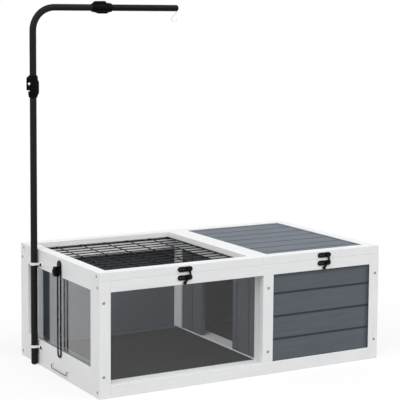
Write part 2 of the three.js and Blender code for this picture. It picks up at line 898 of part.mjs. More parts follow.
// A clip that straddles the pole, its ears flat on the side of the cabinet. Local origin: wall, pole middle.
function clip() {
  const inner = tubeRadius + fit;
  const outer = inner + clipThickness;
  const half = clipHeight * halfShare;
  const saddle = joined(
    bar("z", [poleX, 0, 0], outer, -half, half, clipSides),
    block(space([poleX, -outer, -half], [0, outer, half])),
    pushed(
      "x",
      obround(-clipEarReach, clipEarReach, -half, half, clipSides * halfShare),
      -clipThickness,
      0,
    ),
  );
  return cut(
    saddle,
    bar("z", [poleX, 0, 0], inner, -half - overrun, half + overrun, clipSides),
    block(space([poleX, -inner, -half - overrun], [overrun, inner, half + overrun])),
  );
}

function buildClips(cabinet) {
  for (const [name, z] of [
    ["pole_clip_top", clipTopZ],
    ["pole_clip_low", clipLowZ],
  ]) {
    const mount = new THREE.Group();
    mount.position.set(0, poleY, z);
    cabinet.add(mount);
    place(mount, name, clip(), whitePlastic);
  }
}

// The lower pole: a tube closed at its foot by a plug.
function lowerPole() {
  return turned(
    [
      [0, poleBottom],
      [tubeRadius - tubeEndRound, poleBottom],
      [tubeRadius, poleBottom + tubeEndRound],
      [tubeRadius, poleSplit - fit],
      [tubeBore, poleSplit - fit],
      [tubeBore, poleBottom + plugThickness],
      [0, poleBottom + plugThickness],
    ],
    tubeSides,
  );
}

// The tube section: outer and inner circle.
function tubeSection() {
  const section = shapeOf(circle(0, 0, tubeRadius, tubeSides));
  section.holes.push(shapeOf(circle(0, 0, tubeBore, tubeSides)));
  return section;
}

// The quarter bend with its straights, from the pole's joint to the arm's joint. Local origin: pole axis, z = 0.
class PoleCurve extends THREE.CurvePath {
  constructor() {
    super();
    const bendStart = armHeight - bendRadius;
    const reach = armSplit - poleX;
    this.add(new THREE.LineCurve3(new THREE.Vector3(0, 0, poleSplit), new THREE.Vector3(0, 0, bendStart)));
    const quarter = new THREE.Curve();
    quarter.getPoint = (share, target = new THREE.Vector3()) => {
      const angle = share * quarterTurn;
      return target.set(
        bendRadius - bendRadius * Math.cos(angle),
        0,
        bendStart + bendRadius * Math.sin(angle),
      );
    };
    this.add(quarter);
    this.add(new THREE.LineCurve3(new THREE.Vector3(bendRadius, 0, armHeight), new THREE.Vector3(reach, 0, armHeight)));
  }
}

function bentPole() {
  const tube = swept(tubeSection(), new PoleCurve(), bentPoleSteps);
  const middle = (tubeRadius + tubeBore) * halfShare;
  const spigot = turned(
    [
      [spigotBore, poleSplit - poleSpigotLength],
      [spigotRadius, poleSplit - poleSpigotLength],
      [spigotRadius, poleSplit + fit],
      [middle, poleSplit + fit],
      [middle, poleSplit + spigotCollar],
      [spigotBore, poleSplit + spigotCollar],
      [spigotBore, poleSplit - poleSpigotLength],
    ],
    tubeSides,
  );
  return tube.add(spigot);
}

// The arm: a tube with a stepped spigot at one end and a rounded plug at the other. Turned about +Z, then laid down.
function armTube() {
  const length = armEnd - armSplit;
  return turned(
    [
      [0, length - plugThickness],
      [tubeBore, length - plugThickness],
      [tubeBore, fit + spigotCollar],
      [spigotBore, fit + spigotCollar],
      [spigotBore, -armSpigotLength],
      [spigotRadius, -armSpigotLength],
      [spigotRadius, fit],
      [tubeRadius, fit],
      [tubeRadius, length - tubeEndRound],
      [tubeRadius - tubeEndRound, length],
      [0, length],
    ],
    tubeSides,
  );
}

// Clamp body: a slotted sleeve round the tube's joint, with an ear, a boss and two lugs. Local frame: tube along Z,
// ear towards -X.
function clampBody() {
  const bore = tubeRadius + fit;
  const sleeve = turned(
    [
      [bore, -clampHalfLength],
      [clampEndRadius, -clampHalfLength],
      [clampSleeveRadius, -clampHalfLength + clampEndTaper],
      [clampSleeveRadius, clampHalfLength - clampEndTaper],
      [clampEndRadius, clampHalfLength],
      [bore, clampHalfLength],
      [bore, -clampHalfLength],
    ],
    clampSides,
  );
  const earOutline = [
    [-bore, clampEarLow],
    [-bore, clampEarHigh],
    ...arcPoints(
      clampEarRound - clampEarReach,
      clampEarHigh - clampEarRound,
      clampEarRound,
      90,
      180,
      clampSides / 4,
    ),
    [-clampEarReach, clampEarLow],
  ];
  const half = clampEarWidth * halfShare;
  const ear = pushed("y", earOutline.map(([x, z]) => [z, x]), -half, half);
  const lug = (zLow, webLow, webHigh) => {
    const zHigh = zLow + leverLugThickness;
    return joined(
      bar("z", [leverPinX, leverPinY, 0], leverHubRadius, zLow, zHigh, hingeSides),
      block(space([...webLow, zLow], [...webHigh, zHigh])),
    );
  };
  const pinHigh = leverHubTop + fit + leverLugThickness;
  const lowLug = lug(clampEarLow, [leverPinX, leverPinY - leverHubRadius], [-bore * halfShare, 0]);
  const highLug = lug(
    leverHubTop + fit,
    [leverPinX - leverHubRadius, leverPinY],
    [leverPinX + leverHubRadius, 0],
  );
  const boss = bar(
    "y",
    [clampBossX, 0, clampBossZ],
    clampBossRadius,
    -clampBossReach,
    0,
    clampSides * halfShare,
  );
  const tube = bar(
    "z",
    [0, 0, 0],
    bore,
    -clampHalfLength - overrun,
    clampHalfLength + overrun,
    clampSides,
  );
  const hubRoom = bar(
    "z",
    [leverPinX, leverPinY, 0],
    leverHubRadius + fit,
    leverHubLow - fit,
    leverHubTop + fit,
    hingeSides,
  );
  const slot = block(
    space(
      [-clampEarReach - overrun, -clampEarReach, clampEarLow - clampSlotHeight],
      [-clampSlotInner, clampEarReach, clampEarLow],
    ),
  );
  const pin = bar("z", [leverPinX, leverPinY, 0], leverPinRadius, clampEarLow, pinHigh, hingeSides);
  return cut(joined(sleeve, ear, boss, lowLug, highLug), tube, hubRoom, slot).add(pin);
}

// The lever: a band wrapped round the front of the sleeve, with a hub on the pin and a lip for the finger.
function clampLever() {
  const inner = clampSleeveRadius + fit;
  const outer = inner + leverBandThickness;
  const lip = THREE.MathUtils.degToRad(leverEndDegrees);
  const lipPoint = (radius) => [
    radius * Math.cos(lip) - leverTabLength * Math.sin(lip) * halfShare,
    radius * Math.sin(lip) + leverTabLength * Math.cos(lip) * halfShare,
  ];
  const band = pushed(
    "z",
    [
      ...arcPoints(0, 0, inner, leverStartDegrees, leverEndDegrees, leverBandSteps),
      lipPoint(outer),
      ...arcPoints(0, 0, outer, leverEndDegrees, leverStartDegrees, leverBandSteps),
    ],
    leverLow,
    leverHigh,
  );
  const thinned = outer - leverBandThickness * halfShare;
  const widest = Math.hypot(outer, leverTabLength);
  const barrel = turned(
    [
      [0, leverLow],
      [thinned, leverLow],
      [outer, leverLow + leverEndTaper],
      [widest, leverLow + leverEndTaper],
      [widest, leverHigh - leverEndTaper],
      [outer, leverHigh - leverEndTaper],
      [thinned, leverHigh],
      [0, leverHigh],
    ],
    clampSides,
  );
  const start = THREE.MathUtils.degToRad(leverStartDegrees);
  const hub = bar("z", [leverPinX, leverPinY, 0], leverHubRadius, leverHubLow, leverHubTop, hingeSides);
  const neck = pushed(
    "z",
    [
      [leverPinX, leverPinY],
      [leverPinX, leverPinY - leverHubRadius],
      [outer * Math.cos(start), outer * Math.sin(start)],
      [inner * Math.cos(start), inner * Math.sin(start)],
    ],
    leverHubLow,
    leverHubTop,
  );
  const bore = bar(
    "z",
    [leverPinX, leverPinY, 0],
    leverPinRadius + fit,
    leverHubLow - overrun,
    leverHubTop + overrun,
    hingeSides,
  );
  return cut(joined(band.intersect(barrel), hub, neck), bore);
}

// The hook: a stem in the arm, a straight run at a tangent to the loop, and an open loop.
function lampHook() {
  const at = (x, z) => new THREE.Vector3(x - hookX, 0, z);
  const away = Math.atan2(hookStemBottom - hookLoopZ, hookX - hookLoopX);
  const distance = Math.hypot(hookX - hookLoopX, hookStemBottom - hookLoopZ);
  const touch = away + Math.acos(hookLoopRadius / distance);
  const tip = THREE.MathUtils.degToRad(hookTipDegrees);
  const onLoop = (angle) =>
    at(hookLoopX + hookLoopRadius * Math.cos(angle), hookLoopZ + hookLoopRadius * Math.sin(angle));
  const loop = new THREE.Curve();
  loop.getPoint = (share) => onLoop(touch + (tip - touch) * share);
  const path = new THREE.CurvePath();
  path.add(new THREE.LineCurve3(at(hookX, hookStemTop), at(hookX, hookStemBottom)));
  path.add(new THREE.LineCurve3(at(hookX, hookStemBottom), onLoop(touch)));
  path.add(loop);
  return swept(shapeOf(circle(0, 0, hookWire * halfShare, hookSides)), path, hookSteps);
}

function buildLampStand(cabinet) {
  const lower = new THREE.Group();
  lower.position.set(poleX, poleY, 0);
  cabinet.add(lower);
  place(lower, "lower_pole", lowerPole(), blackMetal);

  const lowerClamp = new THREE.Group();
  lowerClamp.position.set(0, 0, poleSplit);
  lowerClamp.rotation.z = THREE.MathUtils.degToRad(clampTurnDegrees);
  lower.add(lowerClamp);
  place(lowerClamp, "clamp_a", clampBody(), blackPlastic);
  place(lowerClamp, "lever_a", clampLever(), blackPlastic);

  const bent = new THREE.Group();
  lower.add(bent);
  place(bent, "bent_pole", bentPole(), blackMetal);

  const armClamp = new THREE.Group();
  armClamp.position.set(armSplit - poleX, 0, armHeight);
  armClamp.rotation.set(fullTurn * halfShare, quarterTurn, THREE.MathUtils.degToRad(clampTurnDegrees), "YXZ");
  bent.add(armClamp);
  place(armClamp, "clamp_b", clampBody(), blackPlastic);
  place(armClamp, "lever_b", clampLever(), blackPlastic);

  const arm = new THREE.Group();
  arm.position.set(armSplit - poleX, 0, armHeight);
  arm.rotation.y = quarterTurn;
  bent.add(arm);
  const hookHoleDepth = armHeight - hookStemTop - fit;
  const hookHole = bar(
    "x",
    [0, 0, hookX - armSplit],
    hookWire * halfShare + fit,
    hookHoleDepth,
    tubeRadius + overrun,
    hookSides,
  );
  place(arm, "arm_tube", cut(armTube(), hookHole), blackMetal);

  const hook = new THREE.Group();
  hook.position.set(hookX - poleX, 0, 0);
  bent.add(hook);
  place(hook, "lamp_hook", lampHook(), galvanised);
}

// The whole table: its origin is the middle of the underside of the front base rail.
const table = new THREE.Group();
table.position.set(-cabinetLength * halfShare, -frontFrameDepth * halfShare, 0);
const cabinet = new THREE.Group();
const leftLid = new THREE.Group();
const rightLid = new THREE.Group();
table.add(cabinet, leftLid, rightLid);
buildPosts(cabinet);
buildRails(cabinet);
buildPanels(cabinet);
buildFloorAndPartition(cabinet);
buildLeftLid(leftLid);
buildRightLid(rightLid);
buildHinges(cabinet, leftLid, rightLid);
buildLatches(cabinet, leftLid, rightLid);
buildStay(leftLid);
buildKnob(cabinet);
buildClips(cabinet);
buildLampStand(cabinet);

export default table;
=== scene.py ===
# Looks of the tortoise table: the finish of every CAD node, the screws, rivets, staples and the wire
# pull, and then the floor, the light and the camera.
# Metres, in the CAD's own frame: +X to the right along the front, +Y to the back, +Z up.
import math

import bmesh
import bpy
from mathutils import Matrix, Vector


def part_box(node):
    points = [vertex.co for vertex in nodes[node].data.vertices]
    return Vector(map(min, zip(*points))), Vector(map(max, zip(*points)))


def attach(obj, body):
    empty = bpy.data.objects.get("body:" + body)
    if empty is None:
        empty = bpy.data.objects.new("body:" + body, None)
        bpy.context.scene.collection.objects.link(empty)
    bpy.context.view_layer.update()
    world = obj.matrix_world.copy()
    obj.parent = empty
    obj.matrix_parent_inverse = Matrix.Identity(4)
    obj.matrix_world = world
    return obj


MM = 0.001
AXIS_X, AXIS_Y, AXIS_Z = range(3)

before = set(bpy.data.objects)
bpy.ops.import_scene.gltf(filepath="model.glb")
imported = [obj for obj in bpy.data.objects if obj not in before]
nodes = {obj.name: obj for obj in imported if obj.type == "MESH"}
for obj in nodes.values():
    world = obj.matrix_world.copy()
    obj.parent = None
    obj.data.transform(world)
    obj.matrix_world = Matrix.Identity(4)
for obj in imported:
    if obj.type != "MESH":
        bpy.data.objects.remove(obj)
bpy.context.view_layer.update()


# Camera, solved from the edges of the box in the photograph
CAMERA_PLACE = (-1.91079, -3.07739, 1.00331)
CAMERA_YAW = math.radians(29.9375)
CAMERA_PITCH = math.radians(5.9804)
CAMERA_ROLL = math.radians(0.4138)
CAMERA_REACH = 50.0
IMAGE_SIDE = 400.0
FOCAL_PIXELS = 1344.72
AXIS_ROW = 150.0
SENSOR = 36.0


def make_camera():
    data = bpy.data.cameras.new("camera")
    data.sensor_width = SENSOR
    data.lens = FOCAL_PIXELS / IMAGE_SIDE * SENSOR
    data.shift_y = (AXIS_ROW - IMAGE_SIDE / 2) / IMAGE_SIDE
    data.clip_end = CAMERA_REACH
    camera = bpy.data.objects.new("camera", data)
    bpy.context.scene.collection.objects.link(camera)
    forward = Vector(
        (
            math.sin(CAMERA_YAW) * math.cos(CAMERA_PITCH),
            math.cos(CAMERA_YAW) * math.cos(CAMERA_PITCH),
            -math.sin(CAMERA_PITCH),
        )
    )
    level = Vector((math.cos(CAMERA_YAW), -math.sin(CAMERA_YAW), 0.0))
    above = level.cross(forward)
    right = math.cos(CAMERA_ROLL) * level + math.sin(CAMERA_ROLL) * above
    up = -math.sin(CAMERA_ROLL) * level + math.cos(CAMERA_ROLL) * above
    turn = Matrix((right, up, -forward)).transposed().to_4x4()
    camera.matrix_world = Matrix.Translation(CAMERA_PLACE) @ turn
    bpy.context.scene.camera = camera


# Nodes that the materials share
NOISE_ROUGHNESS = 0.55
NOISE_LOW = 0.3
NOISE_HIGH = 0.7
EVEN = (1.0, 1.0, 1.0)


def new_material(name, colour, roughness, metallic=0.0):
    material = bpy.data.materials.new(name)
    material.use_nodes = True
    shader = material.node_tree.nodes["Principled BSDF"]
    shader.inputs["Base Color"].default_value = (*colour, 1.0)
    shader.inputs["Roughness"].default_value = roughness
    shader.inputs["Metallic"].default_value = metallic
    return material, material.node_tree, shader


def object_noise(tree, stretch, scale, detail):
    """Noise in the part's own coordinates, squeezed by stretch along each axis."""
    coordinates = tree.nodes.new("ShaderNodeTexCoord")
    mapping = tree.nodes.new("ShaderNodeMapping")
    mapping.inputs["Scale"].default_value = stretch
    noise = tree.nodes.new("ShaderNodeTexNoise")
    noise.inputs["Scale"].default_value = scale
    noise.inputs["Detail"].default_value = detail
    noise.inputs["Roughness"].default_value = NOISE_ROUGHNESS
    tree.links.new(coordinates.outputs["Object"], mapping.inputs["Vector"])
    tree.links.new(mapping.outputs["Vector"], noise.inputs["Vector"])
    return noise.outputs["Fac"]


def part_place(tree):
    """X, Y and Z in the part's own coordinates."""
    coordinates = tree.nodes.new("ShaderNodeTexCoord")
    split = tree.nodes.new("ShaderNodeSeparateXYZ")
    tree.links.new(coordinates.outputs["Object"], split.inputs[0])
    return split.outputs


def remap(tree, value, low, high, from_low=NOISE_LOW, from_high=NOISE_HIGH):
    """Low to high as the value rises over its range, which is that of a noise unless it is given."""
    node = tree.nodes.new("ShaderNodeMapRange")
    node.inputs["From Min"].default_value = from_low
    node.inputs["From Max"].default_value = from_high
    node.inputs["To Min"].default_value = low
    node.inputs["To Max"].default_value = high
    tree.links.new(value, node.inputs["Value"])
    return node.outputs["Result"]


def maths(tree, operation, first, second=None, third=None):
    """A Math node: each input is a number or the output of another node."""
    node = tree.nodes.new("ShaderNodeMath")
    node.operation = operation
    for socket, value in zip(node.inputs, (first, second, third)):
        if isinstance(value, (int, float)):
            socket.default_value = value
        elif value is not None:
            tree.links.new(value, socket)
    return node.outputs[0]


def blend(tree, factor, under, over):
    """The colour under, covered by over as the factor rises: each is a colour or a node's output."""
    node = tree.nodes.new("ShaderNodeMix")
    node.data_type = "RGBA"
    sockets = [socket for socket in node.inputs if socket.type == "RGBA"]
    for socket, colour in zip(sockets, (under, over)):
        if isinstance(colour, tuple):
            socket.default_value = (*colour, 1.0)
        else:
            tree.links.new(colour, socket)
    tree.links.new(factor, node.inputs["Factor"])
    return next(socket for socket in node.outputs if socket.type == "RGBA")


def add_bump(tree, shader, height, strength, distance, before=None):
    bump = tree.nodes.new("ShaderNodeBump")
    bump.inputs["Strength"].default_value = strength
    bump.inputs["Distance"].default_value = distance
    tree.links.new(height, bump.inputs["Height"])
    if before is not None:
        tree.links.new(before, bump.inputs["Normal"])
    tree.links.new(bump.outputs["Normal"], shader.inputs["Normal"])
    return bump.outputs["Normal"]


def show_mixed(tree, factor, first, second):
    """The surface goes from the first shader to the second as the factor rises."""
    mix = tree.nodes.new("ShaderNodeMixShader")
    for socket, output in zip(mix.inputs, (factor, first, second)):
        tree.links.new(output, socket)
    tree.links.new(mix.outputs["Shader"], tree.nodes["Material Output"].inputs["Surface"])


# Painted timber: the scale and detail of each noise, and what it does to the tone and the surface
GRAIN_ALONG = 0.06
GRAIN_ACROSS = 1.0
FINE_GRAIN = (420.0, 5.0)
BROAD_GRAIN = (130.0, 3.0)
CLOUDS = (7.0, 2.0)
BRUSH_MARKS = (900.0, 2.0)
GRAIN_TONE = 0.6
CLOUD_TONE = 0.4
BOARD_TONE = 0.25
GRAIN_BUMP = 0.5
BRUSH_BUMP = 0.12
BRUSH_DEPTH = 0.15 * MM
TIMBER_SMOOTHER = 0.07
TIMBER_ROUGHER = 0.08

# Tones of the paint: light, dark, and that of the grooves between boards, which is their dark joint
# colour with painted shade and also the colour of the painted shadow along the frame
WHITE_TONES = ((0.875, 0.880, 0.886), (0.785, 0.790, 0.797), (0.7, 0.7, 0.7))
GREY_TONES = ((0.085, 0.100, 0.119), (0.060, 0.072, 0.088), (0.014, 0.022, 0.033))
ROOF_TONES = ((0.097, 0.121, 0.153), (0.072, 0.092, 0.120), (0.024, 0.034, 0.050))
PARTITION_TONES = ((0.098, 0.108, 0.127), (0.072, 0.080, 0.096), (0.044, 0.049, 0.060))
INSIDE_GREY = (0.052, 0.058, 0.070)

# Roughness, depth of the grain and specular level
WHITE_PAINT = (0.5, 0.12 * MM, 0.5)
FRONT_PAINT = (0.52, 0.18 * MM, 0.5)
ROOF_PAINT = (0.52, 0.18 * MM, 0.45)
DULL_PAINT = (0.52, 0.18 * MM, 0.2)

# Grooves between boards: which way the boards are counted, the place of the first groove, the pitch,
# and up to which Y the boards are smooth
BACK_LOW, BACK_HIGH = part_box("back_planks")
WALL_GROOVES = (AXIS_Z, 95.6 * MM, 64.2 * MM, None)
BACK_GROOVES = (AXIS_Z, 95.6 * MM, 64.2 * MM, (BACK_LOW.y + BACK_HIGH.y) / 2)
ROOF_GROOVES = (AXIS_Y, 51.0 * MM, 67.5 * MM, None)
PARTITION_GROOVES = (AXIS_Y, 64.0 * MM, 64.2 * MM, None)
# How far from a groove's middle the dark joint colour with painted shade is full, and where the board
# is clear of it
GROOVE_DARK = 2.3 * MM
GROOVE_CLEAR = 3.9 * MM

# How far the shadow painted along the frame round the boards reaches
FRONT_SHADE_ASIDE = 18.0 * MM
FRONT_SHADE_ABOVE = 13.0 * MM
ROOF_SHADE_ASIDE = 9.0 * MM

# Board walls: name, way of the grain, tones, paint and grooves
BOARD_WALLS = (
    ("front_planks", AXIS_X, GREY_TONES, FRONT_PAINT, WALL_GROOVES),
    ("back_planks", AXIS_X, GREY_TONES, DULL_PAINT, BACK_GROOVES),
    ("right_planks", AXIS_Y, GREY_TONES, DULL_PAINT, WALL_GROOVES),
    ("roof_planks", AXIS_X, ROOF_TONES, ROOF_PAINT, ROOF_GROOVES),
    ("partition_boards", AXIS_Z, PARTITION_TONES, DULL_PAINT, PARTITION_GROOVES),
)


def grain_stretch(axis):
    return tuple(GRAIN_ALONG if index == axis else GRAIN_ACROSS for index in range(3))


def groove_and_painted_shade(tree, grooves):
    """1 in the grooves, which get the dark joint colour with painted shade, 0 on the boards, and a
    number that is the same all over one board.
    """
    axis, first, pitch, smooth_before = grooves
    place = part_place(tree)
    along = maths(tree, "SUBTRACT", place[axis], first)
    pitches = maths(tree, "DIVIDE", along, pitch)
    nearest = maths(tree, "MULTIPLY", maths(tree, "ROUND", pitches), pitch)
    away = maths(tree, "ABSOLUTE", maths(tree, "SUBTRACT", along, nearest))
    groove = remap(tree, away, 1.0, 0.0, GROOVE_DARK, GROOVE_CLEAR)
    noise = tree.nodes.new("ShaderNodeTexWhiteNoise")
    noise.noise_dimensions = "1D"
    tree.links.new(maths(tree, "FLOOR", pitches), noise.inputs["W"])
    board = noise.outputs["Value"]
    if smooth_before is None:
        return groove, board
    grooved = maths(tree, "GREATER_THAN", place[AXIS_Y], smooth_before)
    return maths(tree, "MULTIPLY", groove, grooved), maths(tree, "MULTIPLY", board, grooved)


def painted_frame_shadow(tree, frame_shadow_edges):
    """Painted shadow: rises to 1 towards the edges of the frame that the boards lie behind."""
    place = part_place(tree)
    shade = 0.0
    for axis, edge, reach in frame_shadow_edges:
        near = remap(tree, place[axis], 0.0, 1.0, edge - reach, edge)
        shade = maths(tree, "MAXIMUM", near, shade)
    return shade


def inside_of(tree, inside):
    """1 on the room's side of a plane across one axis, and 0 outside it."""
    axis, plane, operation = inside
    return maths(tree, operation, part_place(tree)[axis], plane)


def painted_timber(name, axis, tones, paint, grooves=None, inside=None, frame_shadow_edges=None):
    """Paint over wood: the grain shows through along the axis, with broad soft changes of tone."""
    light, dark, deep = tones
    roughness, grain_depth, specular = paint
    material, tree, shader = new_material(name, light, roughness)
    shader.inputs["Specular IOR Level"].default_value = specular
    fine = object_noise(tree, grain_stretch(axis), *FINE_GRAIN)
    broad = object_noise(tree, grain_stretch(axis), *BROAD_GRAIN)
    clouds = remap(tree, object_noise(tree, EVEN, *CLOUDS), 0.0, CLOUD_TONE)
    grain = maths(tree, "MULTIPLY_ADD", broad, 0.5, maths(tree, "MULTIPLY", fine, 0.5))
    tone = maths(tree, "MULTIPLY_ADD", remap(tree, grain, 0.0, 1.0), GRAIN_TONE, clouds)
    if grooves:
        groove, board = groove_and_painted_shade(tree, grooves)
        tone = maths(tree, "MULTIPLY_ADD", board, BOARD_TONE, tone)
    colour = blend(tree, tone, light, dark)
    # The grooves between boards: their dark joint colour with painted shade in them
    if grooves:
        colour = blend(tree, groove, colour, deep)
    if inside:
        colour = blend(tree, inside_of(tree, inside), colour, INSIDE_GREY)
    # Painted shadow along the edges of the frame that the boards lie behind, in the tone of the
    # grooves
    if frame_shadow_edges:
        colour = blend(tree, painted_frame_shadow(tree, frame_shadow_edges), colour, deep)
    tree.links.new(colour, shader.inputs["Base Color"])
    rough = remap(tree, grain, roughness - TIMBER_SMOOTHER, roughness + TIMBER_ROUGHER)
    tree.links.new(rough, shader.inputs["Roughness"])
    marks = object_noise(tree, EVEN, *BRUSH_MARKS)
    under = add_bump(tree, shader, marks, BRUSH_BUMP, BRUSH_DEPTH)
    add_bump(tree, shader, grain, GRAIN_BUMP, grain_depth, under)
    return material


# Coated, moulded and metal surfaces: name, colour and its spread, roughness, metallic, the texture's
# scale, strength and depth, and the specular level
COATINGS = (
    ("floor_board", (0.030, 0.030, 0.030), 0.5, 0.85, 0.0, 1400.0, 0.4, 0.30 * MM, 0.0),
    ("satin_black", (0.0138, 0.0138, 0.0142), 0.25, 0.42, 0.0, 1500.0, 0.04, 0.02 * MM, 0.08),
    ("black_metal", (0.005, 0.005, 0.005), 0.3, 0.38, 0.0, 1500.0, 0.2, 0.08 * MM, 0.10),
    ("dark_screws", (0.030, 0.030, 0.031), 0.3, 0.35, 0.3, 1500.0, 0.2, 0.06 * MM, 0.3),
    ("black_plastic", (0.003, 0.003, 0.003), 0.35, 0.40, 0.0, 2200.0, 0.25, 0.08 * MM, 0.04),
    ("white_plastic", (0.84, 0.84, 0.83), 0.04, 0.4, 0.0, 900.0, 0.1, 0.05 * MM, 0.5),
    ("nickel", (0.62, 0.63, 0.64), 0.15, 0.30, 1.0, 700.0, 0.15, 0.05 * MM, 0.5),
    ("zinc", (0.34, 0.35, 0.36), 0.2, 0.40, 1.0, 700.0, 0.2, 0.06 * MM, 0.5),
    ("dull_wire", (0.16, 0.16, 0.17), 0.2, 0.45, 0.8, 700.0, 0.2, 0.05 * MM, 0.5),
)
TEXTURE_DETAIL = 3.0
SMUDGES = (40.0, 2.0)
COATING_SMOOTHER = 0.05
COATING_ROUGHER = 0.07


def coating(name, colour, spread, roughness, metallic, scale, strength, depth, specular):
    """A fine texture in bump and colour, with smudges in the roughness."""
    material, tree, shader = new_material(name, colour, roughness, metallic)
    shader.inputs["Specular IOR Level"].default_value = specular
    fine = object_noise(tree, EVEN, scale, TEXTURE_DETAIL)
    smudges = object_noise(tree, EVEN, *SMUDGES)
    lighter = tuple(min(1.0, channel * (1.0 + spread)) for channel in colour)
    darker = tuple(channel * (1.0 - spread) for channel in colour)
    tree.links.new(blend(tree, fine, darker, lighter), shader.inputs["Base Color"])
    rough = remap(tree, smudges, roughness - COATING_SMOOTHER, roughness + COATING_ROUGHER)
    tree.links.new(rough, shader.inputs["Roughness"])
    add_bump(tree, shader, fine, strength, depth)
    return material


# Clear sheets: the tint, what passes of the light from all around, and how rough they are
ACRYLIC_TINT = (0.985, 0.99, 0.99)
ACRYLIC_SOFT_LIGHT = (0.94, 0.95, 0.95)
ACRYLIC_ROUGHNESS = 0.02
ACRYLIC_HAZE = (25.0, 2.0)
ACRYLIC_HAZE_ROUGHNESS = 0.03
LEFT_PANE_IOR = 1.49
FRONT_PANE_IOR = 1.35


def clear_acrylic(name, ior):
    """A clear sheet: it lets shadow rays through, so that the room behind it is lit."""
    material, tree, shader = new_material(name, ACRYLIC_TINT, ACRYLIC_ROUGHNESS)
    shader.inputs["Transmission Weight"].default_value = 1.0
    shader.inputs["IOR"].default_value = ior
    haze = object_noise(tree, EVEN, *ACRYLIC_HAZE)
    tree.links.new(remap(tree, haze, 0.0, ACRYLIC_HAZE_ROUGHNESS), shader.inputs["Roughness"])
    through = tree.nodes.new("ShaderNodeBsdfTransparent")
    through.inputs["Color"].default_value = (*ACRYLIC_SOFT_LIGHT, 1.0)
    rays = tree.nodes.new("ShaderNodeLightPath").outputs
    lighting = maths(tree, "MAXIMUM", rays["Is Shadow Ray"], rays["Is Diffuse Ray"])
    show_mixed(tree, lighting, shader.outputs["BSDF"], through.outputs["BSDF"])
    return material


def set_material(obj, material):
    obj.data.materials.clear()
    obj.data.materials.append(material)


def finish_for(name, finishes):
    """The finish of a CAD node, timber by the way its grain runs."""
    if name.startswith("post_"):
        return finishes["white", AXIS_Z]
    if name in finishes:
        return finishes[name]
    if name.startswith(("base_rail", "top_rail", "window_rail")):
        return finishes["white", AXIS_Y if name.endswith(("left", "right")) else AXIS_X]
    if name in ("cross_rail", "partition_threshold") or "_lid_stile" in name:
        return finishes["white", AXIS_Y]
    if "_lid_rail" in name:
        return finishes["white", AXIS_X]
    if name.startswith("pole_clip"):
        return finishes["white_plastic"]
    if name.startswith(("clamp", "lever")) or name == "stay_knob":
        return finishes["black_plastic"]
    if name == "lamp_hook":
        return finishes["nickel"]
    if name in ("lower_pole", "bent_pole"):
        return finishes["satin_black"]
    return finishes["black_metal"]


def make_finishes():
    """Every finish, by its own name or by that of the only CAD node that has it."""
    finishes = {}
    for axis in (AXIS_X, AXIS_Y, AXIS_Z):
        material = painted_timber(f"white_timber_{axis}", axis, WHITE_TONES, WHITE_PAINT)
        finishes["white", axis] = material
    # Edges of the frame that throw a painted shadow on the boards behind them, and how far it reaches
    painted_shadow_table = {
        "front_planks": (
            (AXIS_X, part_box("post_front_right")[0].x, FRONT_SHADE_ASIDE),
            (AXIS_Z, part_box("top_rail_front")[0].z, FRONT_SHADE_ABOVE),
        ),
        "roof_planks": ((AXIS_X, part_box("right_lid_stile_right")[0].x, ROOF_SHADE_ASIDE),),
    }
    for name, axis, tones, paint, grooves in BOARD_WALLS:
        frame_shadow_edges = painted_shadow_table.get(name)
        finishes[name] = painted_timber(f"grey_{name}", axis, tones, paint, grooves, frame_shadow_edges=frame_shadow_edges)
    for name, axis, inside in (
        ("base_rail_back", AXIS_X, (AXIS_Y, BACK_LOW.y, "LESS_THAN")),
        ("base_rail_right", AXIS_Y, (AXIS_X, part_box("right_planks")[0].x, "LESS_THAN")),
        ("window_rail_left", AXIS_Y, (AXIS_X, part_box("left_pane")[1].x, "GREATER_THAN")),
    ):
        material = painted_timber(f"white_{name}", axis, WHITE_TONES, WHITE_PAINT, inside=inside)
        finishes[name] = material
    for name, *looks in COATINGS:
        finishes[name] = coating(name, *looks)
    finishes["left_pane"] = clear_acrylic("clear_acrylic_left", LEFT_PANE_IOR)
    finishes["front_pane"] = clear_acrylic("clear_acrylic_front", FRONT_PANE_IOR)
    return finishes


# Edges of the CAD pieces, by how they are made
TIMBER_EDGE = 1.1 * MM
LID_EDGE = 0.6 * MM
BOARD_EDGE = 0.5 * MM
METAL_EDGE = 0.35 * MM
EDGE_SEGMENTS = 2
SHARP_ANGLE = math.radians(35.0)
SMOOTH_ANGLE = math.radians(32.0)
WELD_REACH = 0.002 * MM
# The pin hole of this stile is so close to its lower edge that no rounding fits between them
UNROUNDED = "left_lid_stile_left"


def edge_for(name):
    """How wide the rounded edges of a CAD node are."""
    if name == UNROUNDED:
        return 0
    if name.startswith(("post_", "base_rail", "top_rail", "window_rail", "cross_rail")):
        return TIMBER_EDGE
    if "_lid_rail" in name or "_lid_stile" in name:
        return LID_EDGE
    if name.endswith("planks") or name in ("partition_boards", "partition_threshold", "floor_board"):
        return BOARD_EDGE
    if name.endswith(("_pane", "_pole", "_tube")) or name in ("wire_grid", "lamp_hook", "stay"):
        return 0
    return METAL_EDGE


